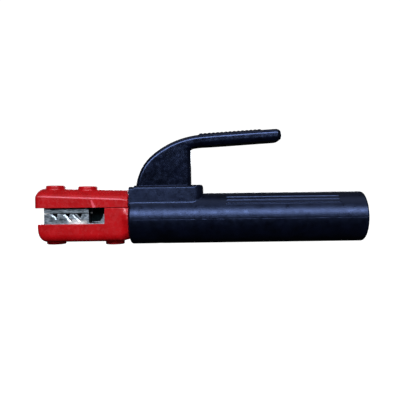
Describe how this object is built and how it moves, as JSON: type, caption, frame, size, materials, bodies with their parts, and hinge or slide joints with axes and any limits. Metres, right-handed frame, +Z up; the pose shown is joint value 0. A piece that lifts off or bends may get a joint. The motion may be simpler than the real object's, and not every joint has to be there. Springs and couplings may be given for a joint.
{
  "type": "electrode holder",
  "caption": "Welding electrode holder: insulated spring-closed metal jaws at the front of a tubular handle, opened by a curved thumb lever.",
  "frame": {"origin": "under the middle of the holder's length and width, on the plane that the lower collars and the handle rest on", "axes": "+X from the jaws to the cable end of the handle, +Y across the holder, +Z up towards the thumb lever"},
  "size_m": [0.24, 0.0372, 0.0839],
  "materials": {
    "black_plastic": "moulded black plastic with a blue sheen",
    "red_plastic": "moulded red heat-resisting plastic, satin",
    "plated_casting": "plated casting, slightly rough",
    "bright_steel": "zinc-plated steel",
    "black_steel": "blackened steel",
    "copper": "copper strip",
    "red_fibre": "vulcanised fibre"
  },
  "bodies": {
    "holder": {"handle": "black_plastic", "handle_fixing_screw": "bright_steel", "lower_jaw_body": "plated_casting", "lower_jaw_insulator": "red_plastic", "lower_insulator_screw_front": "bright_steel", "lower_insulator_screw_rear": "bright_steel", "pivot_pin": "bright_steel", "pivot_clip_left": "black_steel", "pivot_clip_right": "black_steel", "lever_spring": "bright_steel", "spring_seat": "red_fibre", "cable_sleeve": "copper", "cable_set_screw_front": "black_steel", "cable_set_screw_rear": "black_steel"},
    "lever": {"thumb_lever": "black_plastic", "upper_jaw_lever": "plated_casting", "upper_jaw_insulator": "red_plastic", "upper_insulator_screw_front": "bright_steel", "upper_insulator_screw_rear": "bright_steel", "lever_pin_front": "bright_steel", "lever_pin_rear": "bright_steel", "spring_cap": "red_fibre"}
  },
  "joints": [
    {"name": "lever_pivot", "type": "hinge", "parent": "holder", "child": "lever", "pos_m": [-0.038, 0, 0.034], "axis": [0, 1, 0], "range_deg": [0, 13], "stiffness_Nm_per_rad": 12, "springref_deg": -17.19, "deforming": ["lever_spring"]}
  ]
}
